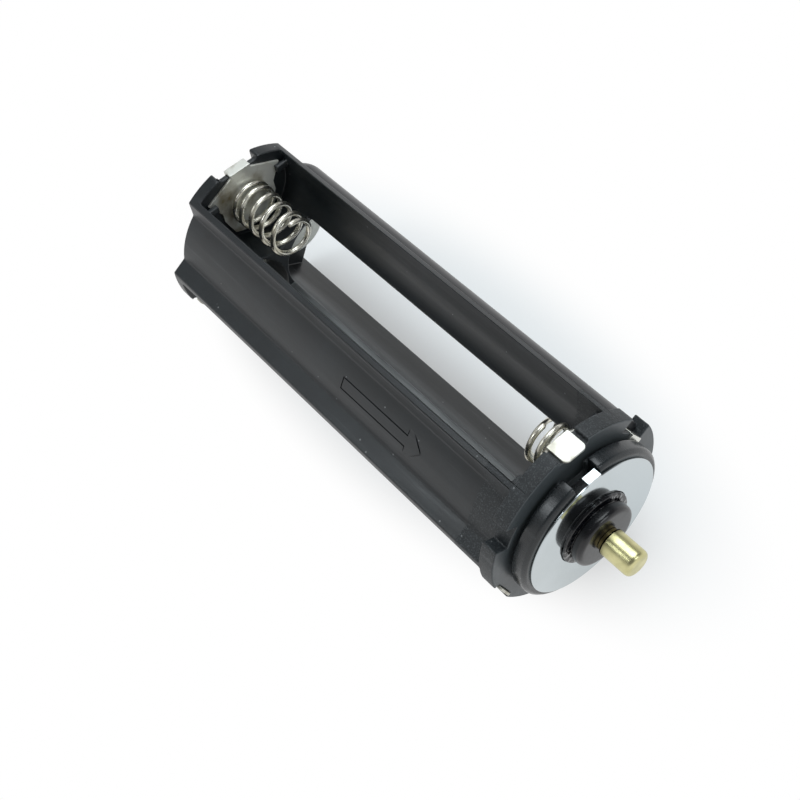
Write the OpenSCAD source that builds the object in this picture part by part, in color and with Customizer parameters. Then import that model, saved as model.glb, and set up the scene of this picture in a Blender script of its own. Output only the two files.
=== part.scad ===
// Cylindrical holder for three small round cells, 21.5 mm across.
// +X runs along the axis from the open rear face to the contact pin, +Z is the way the
// first bay opens. The origin is the centre of the rear face. Sizes are in millimetres.

/* [Frame] */
// Radius of the pillars, rear ears and front ring
frame_r = 10.75; // [10.4:0.05:12]
// Distance between the two end walls
bay_len = 49.45; // [46:0.05:54]
// Thickness of the rear end wall
rear_t = 1.5; // [1:0.05:3]
// Thickness of the front ring
ring_t = 1.85; // [1.2:0.05:3]

/* [Bays] */
// Half width and floor radius of one bay
bay_r = 5.5; // [5.3:0.05:5.6]
// Thickness of the web between two bays where they come closest
web_t = 0.35; // [0.2:0.05:0.8]
// Distance from the narrowest place of the web out to the flat tip of a pillar
tip_out = 1.92; // [1.4:0.02:2.4]
// Length of the solid hub that joins the pillars beside the rear wall
hub_len = 4.8; // [2:0.05:8]

/* [Pillars] */
// Depth of the recess in the outer face
recess_depth = 1.55; // [1.2:0.05:1.9]
// Width of the outer lips on both sides of the recess
lip_w = 0.75; // [0.5:0.05:1.1]
// Width that the slanted side of the recess takes
recess_slant = 1.7; // [1.2:0.05:2]

/* [End walls] */
// Width of the gap between the two rear ears of a bay
rear_gap = 5; // [3.6:0.05:6.5]
// Width of the gap between the two front arms of a bay
front_gap = 3.6; // [3.2:0.05:5]
// Angle that the front gap of the second bay is turned toward the arrow
gap_turn = 10; // [0:0.5:12]
// Depth of a gap below the outer radius
gap_depth = 0.7; // [0.6:0.05:0.9]
// Depth of the low rear wall beside the flat contact, below the outer radius
low_depth = 2.45; // [1.8:0.05:3]
// Depth of the recess in the rear face between two ears
rear_step = 0.85; // [0.4:0.05:1.1]
// Width of the ring notch at each pillar
notch_w = 2.7; // [2.4:0.05:3.4]
// Extra width of the notch beside the strap, toward the first bay
notch_side = 1.35; // [0:0.05:1.6]
// Length along the axis of the keeper lugs beside a contact
lug_len = 0.6; // [0.4:0.05:1.2]
// Height of a keeper lug above its wall
lug_w = 1.5; // [0.5:0.05:1.8]
// Distance from the outer radius in to the inner side of a keeper lug
lug_depth = 3.5; // [2:0.05:4]
// Breadth of a keeper lug
lug_b = 0.9; // [0.5:0.05:1]

/* [Neck] */
// Step from the ring down to the neck
neck_step = 1.9; // [1.4:0.05:2.3]
// Length of the neck with its groove
neck_len = 2.2; // [1.8:0.05:4]
// Width of the groove between ring and neck
groove_w = 0.5; // [0.3:0.05:0.8]
// Depth of the groove below the neck
groove_depth = 1.1; // [0.6:0.05:1.3]
// Bevel at the front edge of the neck
neck_bevel = 0.35; // [0.1:0.05:0.7]
// Width of the slot in the neck above the first bay
slot_w = 3.05; // [2.4:0.05:3.6]
// Distance of the slot from the middle of the bay, toward the arrow
slot_side = 0.4; // [0:0.05:0.8]
// Depth of the slot below the neck
slot_depth = 2.6; // [2:0.05:3.6]

/* [Contacts] */
// Thickness of the contact sheet
sheet_t = 0.3; // [0.2:0.05:0.4]
// Half width of the folded tab of a rear contact
rear_tab = 1.35; // [1:0.05:1.7]
// Half width of the folded tab of a front contact
front_tab = 1.35; // [1:0.05:1.5]
// Distance a front tab stands past the ring
tab_out = 0.4; // [0:0.05:1]
// Rounding of the corners of a front tab
tab_round = 0.55; // [0.2:0.05:0.9]
// Clearance between the corners of a contact and the bay walls
plate_gap = 0.65; // [0.4:0.05:1.2]
// Distance from the wall top down to the corners of a contact
plate_drop = 1.8; // [1.4:0.05:2.4]
// Distance from the bay floor centre in to the centre of a rear spring
spring_in = 0.85; // [0:0.05:1.2]
// Distance of a front spring from the middle of its bay
spring_side = 0.7; // [0:0.05:1]
// Clearance between the rounded contact without a spring and the bay walls
round_gap = 1.9; // [1.4:0.05:2.4]
// Width of the flat rim round the raised pad of that contact
pad_rim = 1.4; // [1:0.05:2]
// Height of that pad
pad_h = 0.5; // [0.3:0.05:1]

/* [Springs] */
// Radius of the spring wire
wire_r = 0.29; // [0.2:0.01:0.35]
// Free length of a long spring
long_len = 8.6; // [6:0.05:10]
// Number of turns of a long spring
long_turns = 5.25; // [4:0.25:7]
// Free length of a short spring
short_len = 2.9; // [2.4:0.05:5]
// Number of turns of a short spring
short_turns = 2.25; // [1.5:0.25:3]
// Mean coil radius at the contact
coil_base = 2.4; // [2.2:0.05:3]
// Mean coil radius at the free end
coil_end = 2.2; // [1.8:0.05:2.6]

/* [Terminal] */
// Margin between the contact disc and the outside of the neck
disc_margin = 0.8; // [0.5:0.05:1.2]
// Thickness of the contact disc
disc_t = 0.25; // [0.2:0.05:0.4]
// Half width of the tab of the contact disc
disc_tab = 0.8; // [0.6:0.05:1]
// Distance of this tab from the middle of the bay, toward the strap
tab_side = 0.2; // [0:0.05:0.3]
// Distance that this tab stands out from the disc
disc_fold = 0.3; // [0.25:0.05:0.7]
// Length of the tab folded back into the slot
disc_back = 0.7; // [0.4:0.05:1.6]
// Radius of the foot of the insulating bush
foot_r = 4.2; // [4:0.05:4.6]
// Height of the foot of the bush
foot_h = 0.35; // [0.2:0.05:0.6]
// Step from the foot in to the cap of the bush
cap_step = 0.6; // [0.2:0.05:0.9]
// Depth of the undercut between foot and cap
under_depth = 0.25; // [0.1:0.05:0.5]
// Height of the cap of the bush
cap_h = 1.2; // [1.1:0.05:2]
// Rounding of the cap edge
cap_round = 1; // [0.4:0.05:1.1]
// Radius of the shank of the bush
shank_r = 2.5; // [2.1:0.05:3]
// Radius of the contact pin
pin_r = 1.5; // [1.2:0.05:1.8]
// Length of the narrower collar between the bush and the pin
collar_len = 0.4; // [0.2:0.05:0.8]
// How much narrower the collar is than the pin, a radius difference
collar_step = 0.22; // [0.17:0.01:0.4]
// Length of the pin in front of the bush
pin_len = 4.05; // [3:0.05:6]
// Radius of the tail of the pin
tail_r = 0.95; // [0.6:0.05:1.1]
// Rounding of the pin tip
tip_round = 0.55; // [0.3:0.05:0.9]

/* [Return strap] */
// Half width of the strap in the right pillar
strap_half = 1.1; // [0.7:0.05:1.15]
// Height of the crowned cover above the recess floor
cover_h = 0.9; // [0.6:0.05:1.2]
// Crown radius of the cover
cover_r = 3; // [2:0.05:4]
// Distance from the rear face to the start of the cover
cover_x = 1; // [0.9:0.05:8]
// Distance that the cover reaches into the notch of the ring
cover_out = 0.9; // [0:0.05:1.4]

/* [Hidden] */
$fn = 96;
eps = 0.02;
play = 0.05;
over = 1;
far_u = 2*frame_r;
bays = [0, 120, 240];
pillars = [60, 180, 300];
front_gaps = [bays[0], bays[1] - gap_turn, bays[2]];
bay_u = (bay_r + web_t/2)/sin(60);
tip_s = bay_u/2 + tip_out;
pillar_half = frame_r*sin(60 - asin(bay_r/frame_r));
recess_r = frame_r - recess_depth;
recess_rim = pillar_half - lip_w;
recess_floor = recess_rim - recess_slant;
gap_u = frame_r - gap_depth;
low_u = frame_r - low_depth;
lug_u = frame_r - lug_depth;
neck_r = frame_r - neck_step;
groove_r = neck_r - groove_depth;
slot_u = neck_r - slot_depth;
plate_half = bay_r - plate_gap;
plate_u = gap_u - plate_drop;
spring_u = bay_u - spring_in;
round_r = bay_r - round_gap;
pad_r = round_r - pad_rim;
disc_r = neck_r - disc_margin;
cap_r = foot_r - cap_step;
ring_x = rear_t + bay_len;
neck_x = ring_x + ring_t;
neck_body_x = neck_x + groove_w;
end_x = neck_x + neck_len;
disc_front = end_x + disc_t;
under_cut = 0.2;
foot_front = disc_front + foot_h;
cap_x = foot_front + under_cut;
cap_front = cap_x + cap_h;
pin_tip = cap_front + pin_len;
plate_x = ring_x - sheet_t;
rear_face = rear_t + sheet_t;
head_t = 0.4;
head_r = tail_r + 0.5;
eyelet_r = tail_r + 0.95;
leaf_in = recess_r - 0.9;
leaf_out = recess_r;
leaf_x = rear_step - sheet_t;
leaf_angle = 21;
strap_in = groove_r - 1.6;
cover_end = ring_x + cover_out;
waist_half = plate_half - 1.3;
waist_top = plate_u - 2.2;
waist_u = waist_top - 1.2;
low_half = waist_half - 0.9;
foot_half = 1.2;
rear_foot_u = 1.9;
front_foot_u = eyelet_r + 0.7;
low_foot_u = 2.5;
link_lo = 2.6;
link_hi = tip_s - 0.5;
link_half = 3.2;
arrow_x0 = 21.5;
arrow_x1 = 36.5;
arrow_half = 0.75;
arrow_head = 3.6;
arrow_wing = 2.3;
arrow_line = 0.16;
arrow_depth = 0.12;

// Height along a coil, with its closest turns at the contact
function lift(t) =
    lookup(t, [[0, 0], [0.1, 0.045], [0.29, 0.2], [0.48, 0.42], [0.67, 0.65],
               [0.86, 0.91], [1, 1]]);

function coil_point(t, turns, length) =
    let (a = 360*turns*t, r = coil_base + (coil_end - coil_base)*t)
    [wire_r + (length - 2*wire_r)*lift(t), r*cos(a), r*sin(a)];

function unit(v) = v/norm(v);

// Turn a flat shape drawn in the cross section so that it runs along +X
module along(x0, x1) {
    translate([x0, 0, 0])
        rotate([90, 0, 90])
            linear_extrude(height = x1 - x0)
                children();
}

// Turn a closed outline of radius and station about the long axis
module turned() {
    rotate([0, 90, 0])
        rotate_extrude()
            children();
}

module coil(turns, length, steps, sides) {
    count = ceil(turns*steps);
    rings = [for (i = [0:count])
        let (t = i/count, p = coil_point(t, turns, length))
        let (along_wire = unit(coil_point(min(1, t + 0.001), turns, length)
            - coil_point(max(0, t - 0.001), turns, length)))
        let (out = unit([0, p[1], p[2]]))
        let (side = unit(cross(along_wire, out)))
        for (j = [0:sides - 1])
            p + wire_r*(cos(360*j/sides)*out + sin(360*j/sides)*side)];
    walls = [for (i = [0:count - 1], j = [0:sides - 1])
        let (k = (j + 1) % sides)
        [i*sides + j, i*sides + k, (i + 1)*sides + k, (i + 1)*sides + j]];
    start = [[for (j = [sides - 1:-1:0]) j]];
    stop = [[for (j = [0:sides - 1]) count*sides + j]];
    polyhedron(points = rings, faces = concat(walls, start, stop), convexity = 12);
}

module bay_shape() {
    translate([0, bay_u])
        circle(r = bay_r);
    translate([-bay_r, bay_u])
        square([2*bay_r, far_u]);
}

module recess_shape() {
    floor_u = sqrt(recess_r*recess_r - recess_floor*recess_floor);
    rim_u = sqrt(frame_r*frame_r - recess_rim*recess_rim);
    slope = (recess_rim - recess_floor)/(rim_u - floor_u);
    top_u = frame_r + over;
    top_half = recess_floor + slope*(top_u - floor_u);
    difference() {
        polygon([[-recess_floor, floor_u - over], [recess_floor, floor_u - over],
                 [recess_floor, floor_u], [top_half, top_u], [-top_half, top_u],
                 [-recess_floor, floor_u]]);
        circle(r = recess_r);
    }
}

module full_shape() {
    difference() {
        circle(r = frame_r);
        for (a = bays)
            rotate(a)
                bay_shape();
        for (a = pillars)
            rotate(a)
                recess_shape();
    }
}

module core_shape() {
    reach = tip_s*sqrt(3);
    polygon([[0, 2*tip_s], [-reach, -tip_s], [reach, -tip_s]]);
}

module pillars_long() {
    along(rear_t - eps, rear_t + hub_len)
        full_shape();
    along(rear_t + hub_len - eps, ring_x + eps)
        difference() {
            full_shape();
            core_shape();
        }
}

module gap_cut(width) {
    translate([-width/2, gap_u])
        square([width, far_u]);
}

// Low, rounded end of the rear wall where the contact has no spring
module low_cut() {
    difference() {
        translate([-bay_r, low_u])
            square([2*bay_r, far_u]);
        translate([0, spring_u])
            circle(r = round_r);
    }
}

module rear_wall() {
    along(0, rear_t)
        difference() {
            circle(r = frame_r);
            for (a = [bays[0], bays[1]])
                rotate(a)
                    gap_cut(rear_gap);
            rotate(bays[2])
                low_cut();
            for (a = pillars)
                rotate(a)
                    recess_shape();
        }
}

// Recess in the rear face in which the folded tab lies
module rear_recess() {
    for (a = [bays[0], bays[1]])
        rotate([a, 0, 0])
            translate([-over, -rear_gap/2, leaf_in - play])
                cube([over + rear_step, rear_gap, far_u]);
}

module front_ring() {
    along(ring_x, neck_x)
        difference() {
            circle(r = frame_r);
            for (a = front_gaps)
                rotate(a)
                    gap_cut(front_gap);
            for (a = pillars)
                rotate(a)
                    notch_shape(a == pillars[2] ? notch_side : 0);
        }
}

module notch_shape(extra) {
    difference() {
        translate([-notch_w/2 - extra, 0])
            square([notch_w + extra, far_u]);
        circle(r = recess_r);
    }
}

module neck() {
    turned()
        polygon([[0, neck_x - eps], [groove_r, neck_x - eps], [groove_r, neck_body_x],
                 [neck_r, neck_body_x], [neck_r, end_x - neck_bevel],
                 [neck_r - neck_bevel, end_x], [0, end_x]]);
}

module keeper_lugs(x0, angles) {
    for (a = angles, side = [-1, 1])
        rotate([a, 0, 0])
            translate([x0, side > 0 ? bay_r - lug_w : -bay_r - eps, lug_u])
                cube([lug_len, lug_w + eps, lug_b]);
}

module arrow_shape(inset) {
    neck = arrow_x1 - arrow_head;
    polygon([[arrow_x0 + inset, -arrow_half + inset], [neck + inset, -arrow_half + inset],
             [neck + inset, -arrow_wing + 2*inset], [arrow_x1 - 2*inset, 0],
             [neck + inset, arrow_wing - 2*inset], [neck + inset, arrow_half - inset],
             [arrow_x0 + inset, arrow_half - inset]]);
}

// Engraved outline arrow on the left pillar
module arrow_cut() {
    rotate([pillars[0], 0, 0])
        translate([0, 0, recess_r - arrow_depth])
            linear_extrude(height = over)
                difference() {
                    arrow_shape(0);
                    arrow_shape(arrow_line);
                }
}

module leaf_shape(grow) {
    difference() {
        intersection() {
            circle(r = leaf_out + grow);
            polygon([[-rear_tab - grow, 0], [-rear_tab - grow, far_u], [far_u, far_u],
                     [far_u, far_u*tan(leaf_angle) - grow], [0, -grow]]);
        }
        circle(r = leaf_in - grow);
    }
}

module fold_up() {
    translate([leaf_x, -rear_tab, leaf_in])
        cube([sheet_t, 2*rear_tab, gap_u + sheet_t - leaf_in]);
}

// Strap from the rear leaf along the right pillar and through the neck to the disc
module strap_run(grow) {
    wide = 2*(strap_half + grow);
    thick = sheet_t + 2*grow;
    rotate([pillars[2], 0, 0]) {
        translate([rear_step, -wide/2, recess_r - sheet_t - grow])
            cube([neck_x + sheet_t + grow - rear_step, wide, thick]);
        translate([neck_x, -wide/2, strap_in - grow])
            cube([sheet_t + grow, wide, recess_r - strap_in + 2*grow]);
        translate([neck_x, -wide/2, strap_in - grow])
            cube([end_x - neck_x, wide, thick]);
    }
}

module body() {
    color("#33363a")
        difference() {
            union() {
                pillars_long();
                rear_wall();
                front_ring();
                neck();
                keeper_lugs(rear_face + play, [bays[0], bays[1]]);
                keeper_lugs(plate_x - play - lug_len, bays);
            }
            translate([neck_x, -slot_w/2 - slot_side, slot_u])
                cube([neck_len + over, slot_w, far_u]);
            along(ring_x - over, end_x + over)
                circle(r = shank_r);
            translate([rear_t, -link_half, -link_hi - play])
                cube([sheet_t + play, 2*link_half, link_hi - link_lo + 2*play]);
            along(-over, rear_step)
                leaf_shape(play);
            rear_recess();
            strap_run(play);
            arrow_cut();
        }
}

module lobe(foot_u, tab) {
    polygon([[-tab, gap_u + sheet_t], [-tab, gap_u - 0.1], [-plate_half, plate_u],
             [-waist_half, waist_top], [-waist_half, waist_u], [-low_half, low_foot_u],
             [-foot_half, foot_u], [foot_half, foot_u], [low_half, low_foot_u],
             [waist_half, waist_u], [waist_half, waist_top], [plate_half, plate_u],
             [tab, gap_u - 0.1], [tab, gap_u + sheet_t]]);
}

// Contact without a top tab, whose tab sits beside the middle
module low_lobe() {
    intersection() {
        lobe(0, front_tab);
        translate([-plate_half, -over])
            square([2*plate_half, plate_u + over + 0.4]);
    }
}

module rear_strip(x0) {
    translate([x0, -rear_tab, gap_u])
        cube([rear_face - x0, 2*rear_tab, sheet_t]);
}

// Front tab with two rounded corners
module front_strip() {
    straight = neck_x + tab_out - tab_round - plate_x;
    inner = front_tab - tab_round;
    translate([plate_x, 0, gap_u])
        linear_extrude(height = sheet_t) {
            translate([0, -front_tab])
                square([straight, 2*front_tab]);
            translate([0, -inner])
                square([straight + tab_round, 2*inner]);
            for (side = [-1, 1])
                translate([straight, side*inner])
                    circle(r = tab_round);
        }
}

module rear_contact_a() {
    color("#c9cac6") {
        along(rear_t, rear_face)
            lobe(rear_foot_u, rear_tab);
        rear_strip(leaf_x);
        fold_up();
        along(leaf_x, rear_step)
            leaf_shape(0);
    }
}

module rear_contact_bc() {
    color("#c9cac6") {
        along(rear_t, rear_face) {
            rotate(bays[1])
                lobe(rear_foot_u, rear_tab);
            rotate(bays[2])
                translate([0, spring_u])
                    circle(r = round_r);
            translate([-link_half, -link_hi])
                square([2*link_half, link_hi - link_lo]);
        }
        rotate([bays[1], 0, 0])
            rear_strip(rear_step);
        rotate([bays[2], 0, 0])
            translate([rear_face - eps, 0, spring_u])
                rotate([0, 90, 0])
                    cylinder(r1 = pad_r, r2 = pad_r - pad_h/2, h = pad_h + eps);
    }
}

module front_contact_ac() {
    color("#c9cac6") {
        along(plate_x, ring_x) {
            for (a = [bays[0], bays[2]])
                rotate(a)
                    lobe(front_foot_u, front_tab);
            rotate(pillars[2])
                translate([-link_half, link_lo])
                    square([2*link_half, link_hi - link_lo]);
        }
        for (a = [bays[0], bays[2]])
            rotate([a, 0, 0])
                front_strip();
    }
}

module front_contact_b() {
    color("#c9cac6") {
        along(plate_x, ring_x)
            difference() {
                union() {
                    rotate(bays[1])
                        low_lobe();
                    rotate(front_gaps[1])
                        translate([-front_tab, plate_u - 1])
                            square([2*front_tab, gap_u + sheet_t - plate_u + 1]);
                    circle(r = eyelet_r);
                }
                circle(r = tail_r + play);
            }
        rotate([front_gaps[1], 0, 0])
            front_strip();
    }
}

module spring_rear_a() {
    color("#d3d2cc")
        translate([rear_face, 0, spring_u])
            coil(long_turns, long_len, 24, 10);
}

module spring_rear_b() {
    color("#d3d2cc")
        rotate([bays[1], 0, 0])
            translate([rear_face, 0, spring_u])
                coil(long_turns, long_len, 18, 8);
}

module spring_front_c() {
    color("#d3d2cc")
        rotate([bays[2], 0, 0])
            translate([plate_x, spring_side, bay_u])
                rotate([0, 0, 180])
                    coil(long_turns, long_len, 18, 8);
}

module spring_front_a() {
    color("#d3d2cc")
        translate([plate_x, spring_side, bay_u])
            rotate([0, 0, 180])
                coil(short_turns, short_len, 24, 10);
}

module spring_front_b() {
    color("#d3d2cc")
        rotate([bays[1], 0, 0])
            translate([plate_x, spring_side, bay_u])
                rotate([0, 0, 180])
                    coil(short_turns, short_len, 18, 8);
}

module strap() {
    color("#b9bab6")
        strap_run(0);
}

module strap_cover() {
    base_u = recess_r + cover_h - cover_r;
    round_x = cover_x + sqrt(cover_r*cover_r - (recess_r - base_u)*(recess_r - base_u));
    color("#26282b")
        difference() {
            rotate([pillars[2], 0, 0])
                translate([round_x, 0, base_u]) {
                    rotate([0, 90, 0])
                        cylinder(r = cover_r, h = cover_end - round_x);
                    sphere(r = cover_r);
                }
            along(0, neck_x)
                circle(r = recess_r);
            strap_run(eps);
            rotate([pillars[2], 0, 0])
                translate([ring_x - play, notch_w/2 - play, 0])
                    cube([ring_t + over, far_u, far_u]);
        }
}

module contact_disc() {
    color("#bfc1c1")
        difference() {
            union() {
                along(end_x, disc_front) {
                    circle(r = disc_r);
                    translate([tab_side - disc_tab, foot_r])
                        square([2*disc_tab, disc_r + disc_fold - foot_r]);
                }
                translate([end_x - disc_back, tab_side - disc_tab, disc_r + disc_fold - disc_t])
                    cube([disc_back + disc_t, 2*disc_tab, disc_t]);
            }
            along(end_x - over, disc_front + over)
                circle(r = foot_r + play);
        }
}

module bush() {
    color("#1b1c1e")
        difference() {
            union() {
                turned()
                    polygon([[0, ring_x], [shank_r, ring_x], [shank_r, end_x],
                             [foot_r, end_x], [foot_r, foot_front],
                             [cap_r - under_depth, foot_front], [cap_r - under_depth, cap_x],
                             [cap_r, cap_x], [cap_r, cap_front - cap_round],
                             [cap_r - cap_round, cap_front - cap_round],
                             [cap_r - cap_round, cap_front], [0, cap_front]]);
                translate([cap_front - cap_round, 0, 0])
                    rotate([0, 90, 0])
                        rotate_extrude()
                            translate([cap_r - cap_round, 0])
                                intersection() {
                                    circle(r = cap_round);
                                    square([cap_round, cap_round]);
                                }
            }
            along(ring_x - over, pin_tip)
                circle(r = tail_r);
        }
}

module pin() {
    color("#c3b26a") {
        turned()
            polygon([[0, plate_x - head_t], [head_r, plate_x - head_t], [head_r, plate_x],
                     [tail_r, plate_x], [tail_r, cap_front],
                     [pin_r - collar_step, cap_front],
                     [pin_r - collar_step, cap_front + collar_len],
                     [pin_r, cap_front + collar_len],
                     [pin_r, pin_tip - tip_round], [pin_r - tip_round, pin_tip - tip_round],
                     [pin_r - tip_round, pin_tip], [0, pin_tip]]);
        translate([pin_tip - tip_round, 0, 0])
            rotate([0, 90, 0])
                rotate_extrude()
                    translate([pin_r - tip_round, 0])
                        intersection() {
                            circle(r = tip_round);
                            square([tip_round, tip_round]);
                        }
    }
}

body();
rear_contact_a();
rear_contact_bc();
front_contact_ac();
front_contact_b();
spring_rear_a();
spring_rear_b();
spring_front_c();
spring_front_a();
spring_front_b();
strap();
strap_cover();
contact_disc();
bush();
pin();
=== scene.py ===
"""Looks of the cylindrical cell holder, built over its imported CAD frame; metres, +X to the pin, +Z up."""

import math

import bmesh
import bpy
import numpy as np
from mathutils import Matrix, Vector


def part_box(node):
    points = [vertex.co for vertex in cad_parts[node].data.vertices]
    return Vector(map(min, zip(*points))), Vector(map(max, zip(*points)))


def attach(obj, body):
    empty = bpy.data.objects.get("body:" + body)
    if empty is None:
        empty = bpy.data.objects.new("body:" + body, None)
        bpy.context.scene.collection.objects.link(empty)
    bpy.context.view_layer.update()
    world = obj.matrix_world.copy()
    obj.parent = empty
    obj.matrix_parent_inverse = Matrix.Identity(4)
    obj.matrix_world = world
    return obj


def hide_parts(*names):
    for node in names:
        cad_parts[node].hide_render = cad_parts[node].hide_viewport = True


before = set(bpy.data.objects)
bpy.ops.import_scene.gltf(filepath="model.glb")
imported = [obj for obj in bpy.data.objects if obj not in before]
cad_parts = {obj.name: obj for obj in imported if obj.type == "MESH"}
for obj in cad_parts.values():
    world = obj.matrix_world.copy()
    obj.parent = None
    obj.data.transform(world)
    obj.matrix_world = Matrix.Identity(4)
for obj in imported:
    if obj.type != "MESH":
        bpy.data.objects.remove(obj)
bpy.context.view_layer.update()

bl_info = {
    "name": "Cell Holder Looks",
    "version": (1, 0, 0),
    "blender": (4, 5, 0),
    "location": "View3D > Sidebar > Cell Holder",
    "description": "Dresses the packed cell holder in moulded plastic, nickel and brass",
    "category": "Object",
}

MM = 0.001
BAY_TURNS = {"a": 0.0, "b": 120.0, "c": 240.0}
# Stations along the axis that bound finishes, painted highlights and painted light, in metres from the rear
# face
RING_SKIN_START = 0.0476
RING_SKIN_END = 0.0528
GROOVE_MIDDLE = 0.05305
GROOVE_HALF = 0.0003
NECK_START = 0.0533
BAY_MIDDLE = 0.0262
BAY_HALF = 0.0244
BUSH_FOOT_END = 0.0557
COLLAR_END = 0.0574
PIN_LINE_END = 0.05756
# The flat tip of the lowest pillar: half its width, its height and how far a point may lie from it
TIP_HALF = 0.00056
TIP_LEVEL = -0.0052
TIP_BAND = 0.00012
# The engraved arrow: stations of its tail, neck and tip, in the solid and in the photograph
ARROW_IN_SOLID = (0.0215, 0.0329, 0.0365)
ARROW_IN_PHOTO = (0.028, 0.03785, 0.0402)
ARROW_MIDDLE = 0.029
ARROW_REACH = 0.0085
ARROW_HALF = 0.0016
ARROW_PILLAR = 150.0
RECESS_INNER = 0.009
RECESS_OUTER = 0.00925
# The corners of the rear ears, and how much rounder they are than the other edges
EAR_START = 0.0002
EAR_END = 0.0014
EAR_RADIUS = 0.0103
EAR_ROUNDING = 2.5
# Springs: turns, mean radius at the contact and at the free end, height above the axis, and how far the
# front ones stand beside the middle of a bay
LONG_TURNS = 5.25
SHORT_TURNS = 2.25
COIL_BASE = 0.0024
COIL_END = 0.0022
REAR_SPRING_HEIGHT = 0.005703
FRONT_SPRING_HEIGHT = 0.006553
FRONT_SPRING_ASIDE = 0.0007


class CellHolderMoulding(bpy.types.PropertyGroup):
    """Sizes and colours of the moulded plastic."""

    plastic: bpy.props.StringProperty(
        name="Plastic", description="Colour of the moulded holder as an sRGB hex value", default="#161b1e")
    edge: bpy.props.FloatProperty(
        name="Edge rounding", description="Radius of the moulded outer edges", subtype="DISTANCE",
        unit="LENGTH", default=0.00014, min=0.0, max=0.0004)
    grain: bpy.props.FloatProperty(
        name="Grain", description="Size of the fine moulded texture", subtype="DISTANCE", unit="LENGTH",
        default=0.00018, min=0.00005, max=0.001)


class CellHolderMetal(bpy.types.PropertyGroup):
    """Sizes and colours of the springs, sheets, disc and pin."""

    nickel: bpy.props.StringProperty(
        name="Nickel", description="Colour of the nickel plating as an sRGB hex value", default="#dcddd6")
    brass: bpy.props.StringProperty(
        name="Brass", description="Colour of the contact pin as an sRGB hex value", default="#d2cd9c")
    wire: bpy.props.FloatProperty(
        name="Wire", description="Radius of the spring wire", subtype="DISTANCE", unit="LENGTH",
        default=0.00029, min=0.0001, max=0.0004)
    fold: bpy.props.FloatProperty(
        name="Sheet edge", description="Rounding of the stamped sheet edges", subtype="DISTANCE",
        unit="LENGTH", default=0.00005, min=0.0, max=0.0001)


class CellHolderStage(bpy.types.PropertyGroup):
    """Camera, floor and lamps."""

    lens: bpy.props.FloatProperty(
        name="Lens", description="Focal length in millimetres on a sensor 36 mm wide", default=59.01,
        min=20.0, max=200.0)
    floor: bpy.props.FloatProperty(
        name="Floor", description="Height of the floor under the holder", subtype="DISTANCE", unit="LENGTH",
        default=-0.01076, min=-0.1, max=0.0)
    key: bpy.props.FloatProperty(
        name="Key lamp", description="Power of the large soft lamp overhead in watts", default=0.55,
        min=0.0, max=10.0)
    fill: bpy.props.FloatProperty(
        name="Fill", description="Strength of the even light from all round", default=0.34, min=0.0,
        max=2.0)
    tint: bpy.props.StringProperty(
        name="Lamp tint", description="Colour of the lamps as an sRGB hex value", default="#f4fbff")
    ceiling: bpy.props.FloatProperty(
        name="Ceiling", description="Brightness of the studio's ceiling in reflections", default=0.2,
        min=0.0, max=1.0)
    glow: bpy.props.FloatProperty(
        name="Glow",
        description="Share of plain white in the floor under the holder, as the camera sees it",
        default=0.32, min=0.0, max=1.0)


def linear(code):
    """Turns an sRGB hex colour into the linear values that a shader takes."""
    value = np.array([int(code[i:i + 2], 16) for i in (1, 3, 5)]) / 255.0
    return [*np.where(value <= 0.04045, value / 12.92, ((value + 0.055) / 1.055) ** 2.4).tolist(), 1.0]


def add(tree, kind, links=None, values=None, settings=None, stops=()):
    """Adds one node with its settings, input values and links by socket name or number, and a ramp's
    (place, colour) stops; a text value is an sRGB hex colour."""
    node = tree.nodes.new(kind)
    for name, value in (settings or {}).items():
        setattr(node, name, value)
    for i, (place, value) in enumerate(stops):
        stop = node.color_ramp.elements[i] if i < 2 else node.color_ramp.elements.new(place)
        stop.position = place
        stop.color = linear(value) if isinstance(value, str) else (value, value, value, 1.0)
    for name, value in (values or {}).items():
        node.inputs[name].default_value = linear(value) if isinstance(value, str) else value
    for name, source in (links or {}).items():
        tree.links.new(source, node.inputs[name])
    return node


def new_material(name):
    """Starts a material and returns it with its tree, its surface shader and object coordinates."""
    material = bpy.data.materials.new(name)
    material.use_nodes = True
    tree = material.node_tree
    return material, tree, tree.nodes["Principled BSDF"], add(tree, "ShaderNodeTexCoord").outputs["Object"]


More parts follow.
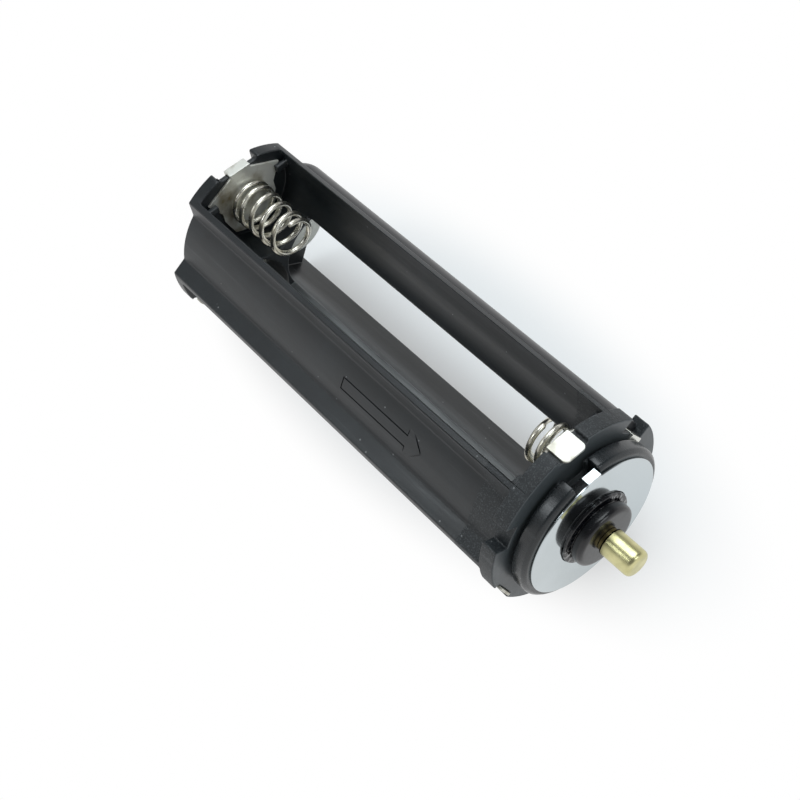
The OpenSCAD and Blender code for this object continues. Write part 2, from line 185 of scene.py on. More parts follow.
def moulded_plastic(name, colour, roughness, grain, dust=0.5, rough_from=1.0, rough_to=1.1):
    """Injection moulded black ABS: satin, with faint flow marks, rub marks along its length and dust; a
    sparked, grainier skin between two stations along X, and a smoother neck in front of the groove."""
    material, tree, shader, place = new_material(name)
    # Flow marks of the moulding, about 4 mm wide, give the black its faint cloudiness
    cloud = add(
        tree, "ShaderNodeTexNoise", {"Vector": place},
        {"Scale": 260.0, "Detail": 4.0, "Roughness": 0.6}).outputs["Fac"]
    shade = add(
        tree, "ShaderNodeValToRGB", {"Fac": cloud}, stops=[(0.35, 0.0), (0.7, 1.0)]).outputs["Color"]
    base = add(tree, "ShaderNodeMix", {"Factor": shade}, {"A": colour}, {"data_type": "RGBA"})
    base.inputs["B"].default_value = [min(1.0, c * 1.5) for c in linear(colour)[:3]] + [1.0]
    # Rub marks 0.7 mm wide and 14 mm long from cells sliding along the bays
    along = add(
        tree, "ShaderNodeMapping", {"Vector": place}, {"Scale": (70.0, 1500.0, 1500.0)}).outputs["Vector"]
    streak = add(
        tree, "ShaderNodeTexNoise", {"Vector": along},
        {"Scale": 1.0, "Detail": 5.0, "Roughness": 0.65}).outputs["Fac"]
    mark = add(
        tree, "ShaderNodeValToRGB", {"Fac": streak}, stops=[(0.6, 0.0), (0.78, 0.13)]).outputs["Color"]
    rubbed = add(
        tree, "ShaderNodeMix", {"Factor": mark, "A": base.outputs["Result"]}, {"B": "#7d8184"},
        {"data_type": "RGBA"})
    # Dust specks about 0.1 mm across, drawn coarser than real dust so that they show
    speck = add(tree, "ShaderNodeTexVoronoi", {"Vector": place}, {"Scale": 700.0, "Randomness": 1.0})
    dot = add(
        tree, "ShaderNodeValToRGB", {"Fac": speck.outputs["Distance"]},
        stops=[(0.03, dust), (0.08, 0.0)]).outputs["Color"]
    few = add(
        tree, "ShaderNodeValToRGB", {"Fac": speck.outputs["Color"]},
        stops=[(0.62, 0.0), (0.66, 1.0)]).outputs["Color"]
    seldom = add(tree, "ShaderNodeMath", {0: dot, 1: few}, settings={"operation": "MULTIPLY"}).outputs[0]
    dusty = add(
        tree, "ShaderNodeMix", {"Factor": seldom, "A": rubbed.outputs["Result"]}, {"B": "#b2b6b8"},
        {"data_type": "RGBA"})
    # The sparked skin of the ring: pits of 0.15 mm that scatter light, between two stations
    apart = add(tree, "ShaderNodeSeparateXYZ", {0: place}).outputs
    station = apart["X"]
    after = add(
        tree, "ShaderNodeMath", {0: station}, {1: rough_from}, {"operation": "GREATER_THAN"}).outputs[0]
    before = add(tree, "ShaderNodeMath", {0: station}, {1: rough_to}, {"operation": "LESS_THAN"}).outputs[0]
    skin = add(tree, "ShaderNodeMath", {0: after, 1: before}, settings={"operation": "MULTIPLY"}).outputs[0]
    pit = add(
        tree, "ShaderNodeTexNoise", {"Vector": place}, {"Scale": 7000.0, "Detail": 1.0}).outputs["Fac"]
    pale = add(tree, "ShaderNodeValToRGB", {"Fac": pit}, stops=[(0.52, 0.0), (0.72, 0.38)]).outputs["Color"]
    share = add(tree, "ShaderNodeMath", {0: pale, 1: skin}, settings={"operation": "MULTIPLY"}).outputs[0]
    final = add(
        tree, "ShaderNodeMix", {"Factor": share, "A": dusty.outputs["Result"]}, {"B": "#63686b"},
        {"data_type": "RGBA"})
    # The flat tip of the lowest pillar is painted pale: a painted highlight where this upward face catches
    # the overhead lamp, streaked like the rub wear where the cells rest on it
    side = add(tree, "ShaderNodeMath", {0: apart["Y"]}, settings={"operation": "ABSOLUTE"}).outputs[0]
    narrow = add(tree, "ShaderNodeMath", {0: side}, {1: TIP_HALF}, {"operation": "LESS_THAN"}).outputs[0]
    level = add(
        tree, "ShaderNodeMath", {0: apart["Z"]}, {1: TIP_LEVEL, 2: TIP_BAND},
        {"operation": "COMPARE"}).outputs[0]
    strip = add(
        tree, "ShaderNodeMath", {0: narrow, 1: level}, settings={"operation": "MULTIPLY"}).outputs[0]
    inside = add(
        tree, "ShaderNodeMath", {0: station}, {1: BAY_MIDDLE, 2: BAY_HALF},
        {"operation": "COMPARE"}).outputs[0]
    tip = add(tree, "ShaderNodeMath", {0: strip, 1: inside}, settings={"operation": "MULTIPLY"}).outputs[0]
    tip_streaks = add(
        tree, "ShaderNodeMapRange", {"Value": streak},
        {"From Min": 0.35, "From Max": 0.6, "To Min": 0.35, "To Max": 0.8}).outputs["Result"]
    tip_highlight_and_wear = add(tree, "ShaderNodeMath", {0: tip, 1: tip_streaks}, settings={"operation": "MULTIPLY"}).outputs[0]
    # Painted highlight on the flat tip, streaked like rub wear, mixed into the colour
    tip_sheen_and_wear = add(
        tree, "ShaderNodeMix", {"Factor": tip_highlight_and_wear, "A": final.outputs["Result"]}, {"B": "#868a8b"},
        {"data_type": "RGBA"}).outputs["Result"]
    # A paler grey is painted into the narrow groove between the ring and the neck: painted light, so that
    # the deep groove does not render near black
    trench = add(
        tree, "ShaderNodeMath", {0: station}, {1: GROOVE_MIDDLE, 2: GROOVE_HALF},
        {"operation": "COMPARE"}).outputs[0]
    groove_painted_light = add(tree, "ShaderNodeMath", {0: trench}, {1: 0.85}, {"operation": "MULTIPLY"}).outputs[0]
    all_over = add(
        tree, "ShaderNodeMix", {"Factor": groove_painted_light, "A": tip_sheen_and_wear}, {"B": "#4b5154"},
        {"data_type": "RGBA"}).outputs["Result"]
    tree.links.new(all_over, shader.inputs["Base Color"])
    # Satin that turns a little glossier where it is rubbed and duller on the sparked skin
    satin = add(
        tree, "ShaderNodeMapRange", {"Value": streak},
        {"From Min": 0.3, "From Max": 0.75, "To Min": roughness + 0.05, "To Max": roughness - 0.06},
    ).outputs["Result"]
    dull = add(
        tree, "ShaderNodeMath", {0: skin, 2: satin}, {1: 0.14}, {"operation": "MULTIPLY_ADD"}).outputs[0]
    # The neck in front of the groove comes from a polished part of the mould
    neck = add(
        tree, "ShaderNodeMath", {0: station}, {1: NECK_START}, {"operation": "GREATER_THAN"}).outputs[0]
    even = add(
        tree, "ShaderNodeMath", {0: neck, 2: dull}, {1: -0.12}, {"operation": "MULTIPLY_ADD"}).outputs[0]
    tree.links.new(even, shader.inputs["Roughness"])
    fine = add(
        tree, "ShaderNodeTexNoise", {"Vector": place},
        {"Scale": 1.0 / grain, "Detail": 3.0, "Roughness": 0.6}).outputs["Fac"]
    height = add(
        tree, "ShaderNodeMath", {0: skin}, {1: 0.75, 2: 0.2}, {"operation": "MULTIPLY_ADD"}).outputs[0]
    bump = add(
        tree, "ShaderNodeBump", {"Height": fine, "Strength": height},
        {"Distance": 0.00003}).outputs["Normal"]
    tree.links.new(bump, shader.inputs["Normal"])
    shader.inputs["IOR"].default_value = 1.52
    return material


def plated_nickel(name, colour, roughness, tarnish, scale=420.0, film=0.0):
    """Bright nickel on steel: mirror-like, duller and browner where the plating is thin; film is how matt a
    thin grey film makes it, and 2.2 times that near the axis, a painted highlight on a plate's lower lobe."""
    material, tree, shader, place = new_material(name)
    # Patches of thin plating a few millimetres wide bring the uneven cast of the metal; the browner tint is
    # also made more frequent to the left
    patch = add(
        tree, "ShaderNodeTexNoise", {"Vector": place},
        {"Scale": scale, "Detail": 3.0, "Roughness": 0.55}).outputs["Fac"]
    across = add(tree, "ShaderNodeSeparateXYZ", {0: place}).outputs["Y"]
    lean = add(
        tree, "ShaderNodeMapRange", {"Value": across},
        {"From Min": -0.003, "From Max": 0.003, "To Min": 0.11, "To Max": -0.1}).outputs["Result"]
    uneven = add(tree, "ShaderNodeMath", {0: patch, 1: lean}, settings={"operation": "ADD"}).outputs[0]
    tint = add(
        tree, "ShaderNodeValToRGB", {"Fac": uneven},
        stops=[(0.45, colour), (0.78, tarnish)]).outputs["Color"]
    tree.links.new(tint, shader.inputs["Base Color"])
    # Near the holder's axis a plate is made matter and paler, a painted highlight where its lower lobe
    # catches the light from above; its right side is made duller and paler than the rest as well
    flat = add(
        tree, "ShaderNodeVectorMath", {0: place}, {1: (0.0, 1.0, 1.0)},
        {"operation": "MULTIPLY"}).outputs[0]
    inward = add(tree, "ShaderNodeVectorMath", {0: flat}, settings={"operation": "LENGTH"}).outputs["Value"]
    metal = add(
        tree, "ShaderNodeMapRange", {"Value": inward},
        {"From Min": 0.0032, "From Max": 0.0056, "To Min": 1.0 - 2.2 * film, "To Max": 1.0 - film},
    ).outputs["Result"]
    matt = add(
        tree, "ShaderNodeMapRange", {"Value": across},
        {"From Min": -0.002, "From Max": 0.004, "To Min": 0.0, "To Max": -0.8 * film}).outputs["Result"]
    bare = add(
        tree, "ShaderNodeMath", {0: metal, 1: matt},
        settings={"operation": "ADD", "use_clamp": True}).outputs[0]
    tree.links.new(bare, shader.inputs["Metallic"])
    rough = add(
        tree, "ShaderNodeMapRange", {"Value": patch},
        {"From Min": 0.3, "From Max": 0.8, "To Min": roughness, "To Max": roughness + 0.1},
    ).outputs["Result"]
    tree.links.new(rough, shader.inputs["Roughness"])
    # Fine rub marks 0.2 mm apart soften the reflections a little
    rub = add(
        tree, "ShaderNodeTexNoise", {"Vector": place}, {"Scale": 5200.0, "Detail": 2.0}).outputs["Fac"]
    bump = add(
        tree, "ShaderNodeBump", {"Height": rub}, {"Strength": 0.05, "Distance": 0.00001}).outputs["Normal"]
    tree.links.new(bump, shader.inputs["Normal"])
    return material


def turned_brass(name, colour, collar_end, line_end):
    """Brass turned on a lathe: pale greenish yellow with fine rings, a browner collar at its root and a
    black line on the rear edge of the barrel."""
    material, tree, shader, place = new_material(name)
    patch = add(
        tree, "ShaderNodeTexNoise", {"Vector": place}, {"Scale": 900.0, "Detail": 3.0}).outputs["Fac"]
    tint = add(
        tree, "ShaderNodeValToRGB", {"Fac": patch},
        stops=[(0.35, colour), (0.8, "#b6b283")]).outputs["Color"]
    station = add(tree, "ShaderNodeSeparateXYZ", {0: place}).outputs["X"]
    root = add(tree, "ShaderNodeMath", {0: station}, {1: collar_end}, {"operation": "LESS_THAN"}).outputs[0]
    dim = add(
        tree, "ShaderNodeMix", {"Factor": root, "A": tint}, {"B": "#a39768"},
        {"data_type": "RGBA"}).outputs["Result"]
    # A black band on the rear edge of the barrel, just in front of the collar
    line = add(tree, "ShaderNodeMath", {0: station}, {1: line_end}, {"operation": "LESS_THAN"}).outputs[0]
    band = add(tree, "ShaderNodeMath", {0: line, 1: root}, settings={"operation": "SUBTRACT"}).outputs[0]
    with_black_band = add(
        tree, "ShaderNodeMix", {"Factor": band, "A": dim}, {"B": "#050505"},
        {"data_type": "RGBA"}).outputs["Result"]
    tree.links.new(with_black_band, shader.inputs["Base Color"])
    shader.inputs["Metallic"].default_value = 1.0
    rough = add(
        tree, "ShaderNodeMapRange", {"Value": patch}, {"To Min": 0.24, "To Max": 0.38}).outputs["Result"]
    tree.links.new(rough, shader.inputs["Roughness"])
    # Tool marks every 0.12 mm along the pin, coarser than real ones so that they show
    ring = add(
        tree, "ShaderNodeTexWave", {"Vector": place}, {"Scale": 2600.0, "Distortion": 0.4},
        {"wave_type": "BANDS", "bands_direction": "X"}).outputs["Fac"]
    bump = add(
        tree, "ShaderNodeBump", {"Height": ring}, {"Strength": 0.08, "Distance": 0.00001}).outputs["Normal"]
    tree.links.new(bump, shader.inputs["Normal"])
    return material


def gloss_resin(name, foot_end):
    """Black plastic bush: its foot is glossy and slightly melted, so that its highlights are broken, and
    its cap is satin."""
    material, tree, shader, place = new_material(name)
    patch = add(
        tree, "ShaderNodeTexNoise", {"Vector": place}, {"Scale": 900.0, "Detail": 2.0}).outputs["Fac"]
    tint = add(
        tree, "ShaderNodeValToRGB", {"Fac": patch},
        stops=[(0.3, "#090a0e"), (0.8, "#121419")]).outputs["Color"]
    tree.links.new(tint, shader.inputs["Base Color"])
    station = add(tree, "ShaderNodeSeparateXYZ", {0: place}).outputs["X"]
    cap = add(tree, "ShaderNodeMath", {0: station}, {1: foot_end}, {"operation": "GREATER_THAN"}).outputs[0]
    rough = add(
        tree, "ShaderNodeMath", {0: cap}, {1: 0.17, 2: 0.06}, {"operation": "MULTIPLY_ADD"}).outputs[0]
    tree.links.new(rough, shader.inputs["Roughness"])
    swell = add(
        tree, "ShaderNodeMath", {0: cap}, {1: -0.85, 2: 0.9}, {"operation": "MULTIPLY_ADD"}).outputs[0]
    bump = add(
        tree, "ShaderNodeBump", {"Height": patch, "Strength": swell},
        {"Distance": 0.0004}).outputs["Normal"]
    tree.links.new(bump, shader.inputs["Normal"])
    shader.inputs["IOR"].default_value = 1.5
    return material


def seen_directly(tree):
    """Adds the nodes that give 1 to rays from the camera, mirrors and clear matter and 0 to all others."""
    path = add(tree, "ShaderNodeLightPath")
    eye = add(
        tree, "ShaderNodeMath", {0: path.outputs["Is Camera Ray"], 1: path.outputs["Is Glossy Ray"]},
        settings={"operation": "MAXIMUM"})
    return add(
        tree, "ShaderNodeMath", {0: eye.outputs[0], 1: path.outputs["Is Transmission Ray"]},
        settings={"operation": "MAXIMUM"}).outputs[0]


def show(piece, material, slot, *nodes):
    """Gives a piece its material, lets it ride on the holder and stand for its CAD nodes; slot is not used.
    """
    piece.data.materials.clear()
    piece.data.materials.append(material)
    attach(piece, "root")
    if nodes:
        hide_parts(*nodes)
    return piece


def surface(name, grid, wrap_rows=False):
    """Makes a mesh of a grid of points (rows, columns, 3) whose columns always close on themselves."""
    rows, columns = grid.shape[:2]
    i = np.arange(rows if wrap_rows else rows - 1)[:, None]
    j = np.arange(columns)[None, :]
    ni, nj = (i + 1) % rows, (j + 1) % columns
    faces = np.stack(
        [i * columns + j, i * columns + nj, ni * columns + nj, ni * columns + j], -1).reshape(-1, 4)
    mesh = bpy.data.meshes.new(name)
    mesh.from_pydata(grid.reshape(-1, 3).tolist(), [], faces.tolist())
    work = bmesh.new()
    work.from_mesh(mesh)
    bmesh.ops.remove_doubles(work, verts=work.verts, dist=1e-7)
    bmesh.ops.holes_fill(work, edges=[e for e in work.edges if e.is_boundary])
    bmesh.ops.recalc_face_normals(work, faces=work.faces)
    for face in work.faces:
        face.smooth = True
    work.to_mesh(mesh)
    work.free()
    piece = bpy.data.objects.new(name, mesh)
    bpy.context.scene.collection.objects.link(piece)
    return piece


def rounded(points, radii, steps=6):
    """Rounds the corners of an open outline: each corner becomes a curve through points at its radius
    before and after, weighted (1-t)^2, 2t(1-t), t^2."""
    points = np.array(points, float)
    out = [points[0]]
    for k in range(1, len(points) - 1):
        before, here, after = points[k - 1], points[k], points[k + 1]
        r = min(radii[k - 1], 0.49 * np.linalg.norm(here - before), 0.49 * np.linalg.norm(after - here))
        a = here + (before - here) / np.linalg.norm(before - here) * r
        b = here + (after - here) / np.linalg.norm(after - here) * r
        t = np.linspace(0, 1, steps)[:, None]
        out.extend(((1 - t) ** 2 * a + 2 * t * (1 - t) * here + t ** 2 * b).tolist())
    out.append(points[-1])
    return np.array(out, float)


def lathe(name, outline, steps=144, wrap=False):
    """Turns an outline of (station, radius) about the X axis: y = radius cos(a), z = radius sin(a)."""
    angle = np.linspace(0, 2 * np.pi, steps, endpoint=False)
    station = np.repeat(outline[:, :1], steps, 1)
    grid = np.stack([station, outline[:, 1:] * np.cos(angle), outline[:, 1:] * np.sin(angle)], -1)
    return surface(name, grid, wrap)


def coil(name, node, turns, sign, bay, wire, base, end, sides=16, per_turn=44):
    """Wire along a helix of shrinking radius whose first and last half turn lie flat, in the place of its
    CAD node.

    Centreline: x rises with the flattened share of the turn, y = r cos a, z = r sin a; the wire's circle
    stands across the centreline's slope, and its ends are rounded.
    """
    lo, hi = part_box(node)
    length = hi.x - lo.x - 2 * wire
    count = int(turns * per_turn)
    t = np.linspace(0, 1, count + 1)
    lift = np.interp(t, [0, 0.1, 0.29, 0.48, 0.67, 0.86, 1], [0, 0.045, 0.2, 0.42, 0.65, 0.91, 1])
    radius = base + (end - base) * t
    a = 2 * np.pi * turns * t
    line = np.stack([wire + length * lift, radius * np.cos(a), radius * np.sin(a)], -1)
    slope = np.gradient(line, axis=0)
    slope /= np.linalg.norm(slope, axis=1)[:, None]
    out = np.stack([0 * t, np.cos(a), np.sin(a)], -1)
    side = np.cross(slope, out)
    side /= np.linalg.norm(side, axis=1)[:, None]
    cap = np.sin(np.linspace(0, np.pi / 2, 5))
    back = wire * np.cos(np.linspace(0, np.pi / 2, 5))[:-1]
    step = np.concatenate([-back, np.zeros(len(line)), back[::-1]])
    size = np.concatenate([cap[:-1], np.ones(len(line)), cap[:-1][::-1]])
    index = np.concatenate([np.zeros(4, int), np.arange(len(line)), np.full(4, len(line) - 1)])
    phi = np.linspace(0, 2 * np.pi, sides, endpoint=False)
    outward = np.cos(phi)[None, :, None] * out[index][:, None]
    ring = outward + np.sin(phi)[None, :, None] * side[index][:, None]
    grid = line[index][:, None] + step[:, None, None] * slope[index][:, None]
    grid = grid + wire * size[:, None, None] * ring
    grid = grid * np.array([sign, sign, 1.0])
    grid[..., 0] += lo.x if sign > 0 else hi.x
    grid[..., 1] += 0.0 if sign > 0 else FRONT_SPRING_ASIDE
    grid[..., 2] += REAR_SPRING_HEIGHT if sign > 0 else FRONT_SPRING_HEIGHT
    turn = math.radians(BAY_TURNS[bay])
    y, z = grid[..., 1].copy(), grid[..., 2].copy()
    grid[..., 1] = y * math.cos(turn) - z * math.sin(turn)
    grid[..., 2] = y * math.sin(turn) + z * math.cos(turn)
    return surface(name, grid)


def merged_copy(name, node, width, segments=2, soft=None, settle=None):
    """Copies a CAD node's triangles as one closed skin, clears the lines inside its flat faces and rounds
    its sharp edges.

    soft is a function of edge middles (n, 3) that gives each edge's share of the rounding; settle is a
    function of points (n, 3) that returns them in place.
    """
    work = bmesh.new()
    work.from_mesh(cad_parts[node].data)
    bmesh.ops.remove_doubles(work, verts=work.verts, dist=2e-6)
    bmesh.ops.dissolve_limit(work, angle_limit=math.radians(0.4), verts=work.verts, edges=work.edges)
    mesh = bpy.data.meshes.new(name)
    work.edges.ensure_lookup_table()
    sharp = np.array([e.is_manifold and e.calc_face_angle(0.0) > math.radians(28) for e in work.edges])
    middle = np.array([((e.verts[0].co + e.verts[1].co) / 2)[:] for e in work.edges])
    for face in work.faces:
        face.smooth = True
    work.to_mesh(mesh)
    work.free()
    if settle is not None:
        points = np.empty(len(mesh.vertices) * 3)
        mesh.vertices.foreach_get("co", points)
        mesh.vertices.foreach_set("co", settle(points.reshape(-1, 3)).ravel())
    weight = sharp.astype(np.float32)
    if soft is not None:
        weight *= soft(middle).astype(np.float32)
    layer = mesh.attributes.new("bevel_weight_edge", "FLOAT", "EDGE")
    layer.data.foreach_set("value", weight)
    crease = mesh.attributes.new("sharp_edge", "BOOLEAN", "EDGE")
    crease.data.foreach_set("value", sharp & (weight < 0.05))
    piece = bpy.data.objects.new(name, mesh)
    bpy.context.scene.collection.objects.link(piece)
    bevel = piece.modifiers.new("Rounded edges", "BEVEL")
    bevel.limit_method = "WEIGHT"
    bevel.width = width
    bevel.segments = segments
    bevel.use_clamp_overlap = False
    bevel.miter_outer = "MITER_ARC"
    normal = piece.modifiers.new("Even shading", "WEIGHTED_NORMAL")
    normal.keep_sharp = True
    return piece


def aim_turn(direction):
    """The turn that points a lamp's own -Z along direction."""
    return Vector(direction.tolist()).to_track_quat("-Z", "Y")


class MouldHolder(bpy.types.Operator):
    """Makes the one-piece moulded holder with rounded edges."""

    bl_idname = "cell_holder.moulding"
    bl_label = "Moulded holder"

    def execute(self, context):
        look = context.scene.cell_holder_moulding

        def in_arrow(points):
            """True for points of the engraved arrow: station within it, on the recess floor, near the
            middle of the left pillar."""
            turn = math.radians(ARROW_PILLAR)
            out = points[:, 1] * math.cos(turn) + points[:, 2] * math.sin(turn)
            across = points[:, 2] * math.cos(turn) - points[:, 1] * math.sin(turn)
            near = (np.abs(points[:, 0] - ARROW_MIDDLE) < ARROW_REACH) & (np.abs(across) < ARROW_HALF)
            return near & (out > RECESS_INNER) & (out < RECESS_OUTER)

        def soft(middle):
            """Engraved lines keep sharp edges, and the corners of the rear ears are rounder than the
            rest."""
            reach = np.hypot(middle[:, 1], middle[:, 2])
            ear = (middle[:, 0] > EAR_START) & (middle[:, 0] < EAR_END) & (reach > EAR_RADIUS)
            return np.where(in_arrow(middle), 0.0, np.where(ear, 1.0, 1.0 / EAR_ROUNDING))

        def settle(points):
            """Slides the engraved arrow along the recess to its place in the photograph: straight pieces in
            the station carry tail, neck and tip over."""
            slid = np.interp(points[:, 0], ARROW_IN_SOLID, ARROW_IN_PHOTO)
            points[:, 0] = np.where(in_arrow(points), slid, points[:, 0])
            return points

        piece = merged_copy("moulded_holder", "body", look.edge * EAR_ROUNDING, 3, soft, settle)
        plastic = moulded_plastic(
            "Injection moulded ABS, satin", look.plastic, 0.38, look.grain, 0.5, RING_SKIN_START,
            RING_SKIN_END)
        show(piece, plastic, "body", "body")
        return {"FINISHED"}


class FoldContacts(bpy.types.Operator):
    """Makes the stamped and folded contact sheets."""

    bl_idname = "cell_holder.contacts"
    bl_label = "Contact sheets"

    def execute(self, context):
        look = context.scene.cell_holder_metal
        metal = plated_nickel("Nickel plated spring steel sheet", look.nickel, 0.34, "#877c60", 420.0, 0.35)
        for node in ("rear_contact_a", "rear_contact_bc", "front_contact_ac", "front_contact_b"):
            show(merged_copy(node.replace("contact", "sheet"), node, look.fold, 2), metal, "contacts", node)
        return {"FINISHED"}


class WindSprings(bpy.types.Operator):
    """Winds the coil springs of the bays."""

    bl_idname = "cell_holder.springs"
    bl_label = "Coil springs"

    def execute(self, context):
        look = context.scene.cell_holder_metal
        metal = plated_nickel("Nickel plated spring wire", "#e6e4d9", 0.24, "#c8c1ab", 900.0)
        for name, node, turns, sign, bay in (
            ("rear_coil_a", "spring_rear_a", LONG_TURNS, 1, "a"),
            ("rear_coil_b", "spring_rear_b", LONG_TURNS, 1, "b"),
            ("front_coil_c", "spring_front_c", LONG_TURNS, -1, "c"),
            ("front_coil_a", "spring_front_a", SHORT_TURNS, -1, "a"),
            ("front_coil_b", "spring_front_b", SHORT_TURNS, -1, "b"),
        ):
            piece = coil(name, node, turns, sign, bay, look.wire, COIL_BASE, COIL_END)
            show(piece, metal, "springs", node)
        return {"FINISHED"}


class RunStrap(bpy.types.Operator):
    """Makes the return strap and its insulating cover."""

    bl_idname = "cell_holder.strap"
    bl_label = "Return strap"

    def execute(self, context):
        look = context.scene.cell_holder_metal
        moulding = context.scene.cell_holder_moulding
        show(
            merged_copy("return_strap", "strap", look.fold, 2),
            plated_nickel("Nickel strip, rolled", look.nickel, 0.25, "#aaa495"), "strap", "strap")
        show(
            merged_copy("strap_sleeve", "strap_cover", 0.0001, 2),
            moulded_plastic("Heat shrunk sleeve, satin black", "#191b1e", 0.34, moulding.grain, 0.3),
            "cover", "strap_cover")
        return {"FINISHED"}


class TurnTerminal(bpy.types.Operator):
    """Makes the contact disc, the insulating bush and the brass pin."""

    bl_idname = "cell_holder.terminal"
    bl_label = "Front terminal"

    def execute(self, context):
        look = context.scene.cell_holder_metal
        show(
            merged_copy("front_disc", "contact_disc", look.fold, 2),
            plated_nickel("Nickel plated disc, polished", "#c2cacd", 0.035, "#bcc4c6", 160.0), "disc",
            "contact_disc")
        # The bush in millimetres: radii of bore, shank, foot, undercut, cap and collar seat, then stations
        bore, shank, foot, under, cap, seat = 0.96, 2.49, 4.19, 3.36, 3.59, 1.5
        back, disc, foot_top, under_start, cap_back, face = 51.0, 55.01, 55.58, 55.62, 55.8, 56.98
        bush = rounded(
            [
                (back, bore), (back, shank), (disc, shank), (disc, foot), (foot_top, foot),
                (under_start, under), (cap_back, under), (cap_back, cap), (face, cap), (face, seat),
                (face, bore)],
            [0.05, 0.05, 0.03, 0.15, 0.05, 0.05, 0.12, 1.1, 0.1], 8)
        show(
            lathe("insulating_bush", bush * MM, 144, True),
            gloss_resin("Gloss black resin, flame softened", BUSH_FOOT_END), "bush", "bush")
        # The pin in millimetres: radii of head, tail, collar and barrel, then stations
        head, tail, collar, barrel = 1.44, 0.95, 1.29, 1.49
        head_back, head_front, root, shoulder, tip = 50.26, 50.64, 57.0, 57.4, 61.04
        pin = rounded(
            [
                (head_back, 0.0), (head_back, head), (head_front, head), (head_front, tail), (root, tail),
                (root, collar), (shoulder, collar), (shoulder, barrel), (tip, barrel), (tip, 0.0)],
            [0.1, 0.1, 0.02, 0.02, 0.03, 0.03, 0.04, 0.6], 8)
        show(
            lathe("brass_pin", pin * MM),
            turned_brass("Turned brass", look.brass, COLLAR_END, PIN_LINE_END), "pin", "pin")
        return {"FINISHED"}


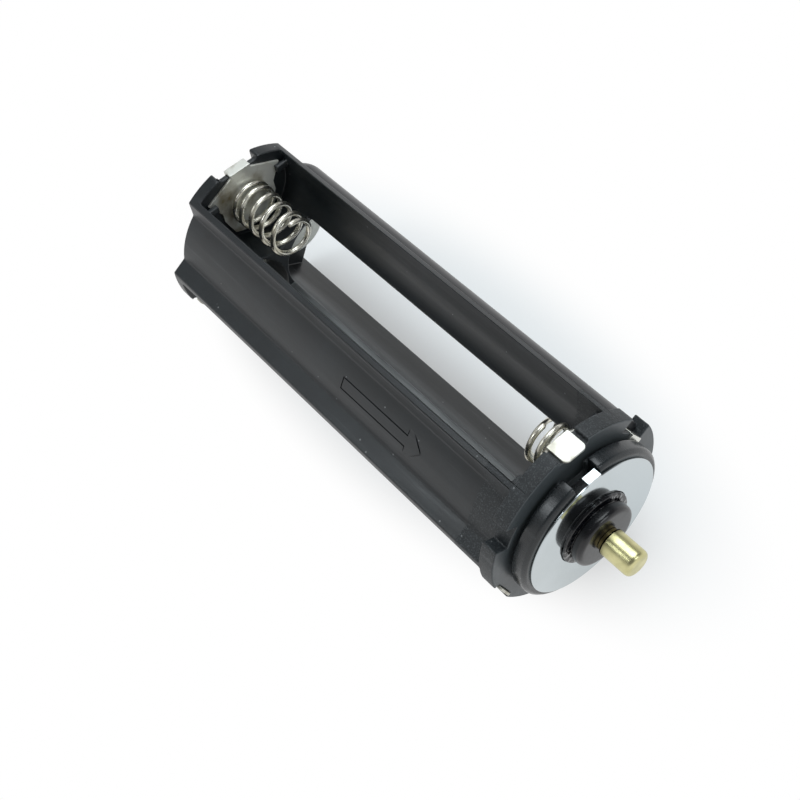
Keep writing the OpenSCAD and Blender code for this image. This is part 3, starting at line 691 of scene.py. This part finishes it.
class SetStage(bpy.types.Operator):
    """Sets the camera at the photograph's angle, the pale floor and the soft lamps."""

    bl_idname = "cell_holder.stage"
    bl_label = "Stage"

    def execute(self, context):
        look = context.scene.cell_holder_stage
        scene = context.scene
        lens = bpy.data.cameras.new("Camera")
        lens.lens = look.lens
        lens.sensor_width = 36.0
        lens.clip_start = 0.005
        lens.clip_end = 20.0
        camera = bpy.data.objects.new("Camera", lens)
        # Place and turn were solved from the holder's outline in the photograph
        camera.location = (0.09857, -0.04327, 0.10965)
        camera.rotation_mode = "QUATERNION"
        camera.rotation_quaternion = (0.871814, 0.247478, 0.178739, 0.383077)
        scene.collection.objects.link(camera)
        scene.camera = camera
        side = 6.0
        mesh = bpy.data.meshes.new("Floor")
        mesh.from_pydata(
            [
                (-side, -side, look.floor), (side, -side, look.floor), (side, side, look.floor),
                (-side, side, look.floor)],
            [], [(0, 1, 2, 3)])
        floor = bpy.data.objects.new("Floor", mesh)
        scene.collection.objects.link(floor)
        paper, tree, shader, place = new_material("Pale studio paper")
        shader.inputs["Base Color"].default_value = linear("#e7edef")
        shader.inputs["Roughness"].default_value = 0.9
        # Far from the holder the paper reads as pure white; near it the share of glow falls, so that its
        # shadow stays
        oval = add(
            tree, "ShaderNodeMapping", {"Vector": place},
            {"Location": (-0.01, -0.007, -look.floor), "Scale": (0.42, 1.0, 1.0)}).outputs["Vector"]
        far = add(
            tree, "ShaderNodeVectorMath", {0: oval}, settings={"operation": "LENGTH"}).outputs["Value"]
        share = add(
            tree, "ShaderNodeMapRange", {"Value": far},
            {"From Min": 0.009, "From Max": 0.02, "To Min": look.glow, "To Max": 1.0},
            {"interpolation_type": "SMOOTHSTEP"}).outputs["Result"]
        mix = add(
            tree, "ShaderNodeMath", {0: share, 1: seen_directly(tree)},
            settings={"operation": "MULTIPLY"}).outputs[0]
        glow = add(tree, "ShaderNodeEmission", values={"Color": "#ffffff", "Strength": 1.0})
        both = add(
            tree, "ShaderNodeMixShader", {0: mix, 1: shader.outputs["BSDF"], 2: glow.outputs["Emission"]})
        tree.links.new(both.outputs[0], tree.nodes["Material Output"].inputs["Surface"])
        mesh.materials.append(paper)
        world = bpy.data.worlds.new("Studio")
        scene.world = world
        world.use_nodes = True
        sky = world.node_tree
        back = sky.nodes["Background"]
        # A studio with a white surround and a dim ceiling, as metal and gloss show it; other rays get an
        # even fill
        height = add(
            sky, "ShaderNodeSeparateXYZ",
            {0: add(sky, "ShaderNodeTexCoord").outputs["Generated"]}).outputs["Z"]
        room = add(
            sky, "ShaderNodeMapRange", {"Value": height},
            {"From Min": 0.1, "From Max": 0.6, "To Min": 1.0, "To Max": look.ceiling},
            {"interpolation_type": "SMOOTHSTEP"}).outputs["Result"]
        level = add(
            sky, "ShaderNodeMix", {"Factor": seen_directly(sky), "B": room},
            {"A": look.fill}).outputs["Result"]
        sky.links.new(level, back.inputs["Strength"])
        back.inputs["Color"].default_value = (1.0, 1.0, 1.0, 1.0)
        for name, place, aim, size, power in (
            ("Overhead softbox", (-0.07, 0.12, 0.39), (0.03, 0.0, 0.0), 0.3, look.key * 1.9),
            ("Side softbox", (-0.11, -0.24, 0.29), (0.03, 0.0, 0.0), 0.12, look.key * 0.36),
            ("Front softbox", (0.31, 0.1, 0.26), (0.03, 0.0, 0.0), 0.16, look.key * 0.5),
        ):
            lamp = bpy.data.lights.new(name, "AREA")
            lamp.shape = "SQUARE"
            lamp.size = size
            lamp.energy = power
            lamp.color = linear(look.tint)[:3]
            light = bpy.data.objects.new(name, lamp)
            light.location = place
            direction = np.array(aim) - np.array(place)
            light.rotation_mode = "QUATERNION"
            light.rotation_quaternion = aim_turn(direction)
            scene.collection.objects.link(light)
        scene.view_settings.view_transform = "Standard"
        return {"FINISHED"}


class CELLHOLDER_PT_panel(bpy.types.Panel):
    """Lists the steps that dress the holder."""

    bl_label = "Cell Holder"
    bl_space_type = "VIEW_3D"
    bl_region_type = "UI"
    bl_category = "Cell Holder"

    def draw(self, context):
        for group in GROUPS:
            for name in group.__annotations__:
                self.layout.prop(getattr(context.scene, GROUPS[group]), name)
        for step in STEPS:
            self.layout.operator(step.bl_idname)


STEPS = (SetStage, MouldHolder, FoldContacts, WindSprings, RunStrap, TurnTerminal)
GROUPS = {
    CellHolderMoulding: "cell_holder_moulding", CellHolderMetal: "cell_holder_metal",
    CellHolderStage: "cell_holder_stage"}


def register():
    for part in (*GROUPS, *STEPS, CELLHOLDER_PT_panel):
        bpy.utils.register_class(part)
    for group, name in GROUPS.items():
        setattr(bpy.types.Scene, name, bpy.props.PointerProperty(type=group))


def unregister():
    for name in GROUPS.values():
        delattr(bpy.types.Scene, name)
    for part in reversed((*GROUPS, *STEPS, CELLHOLDER_PT_panel)):
        bpy.utils.unregister_class(part)


def main():
    """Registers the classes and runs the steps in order."""
    register()
    for step in STEPS:
        family, name = step.bl_idname.split(".")
        getattr(getattr(bpy.ops, family), name)()


if __name__ == "__main__":
    main()
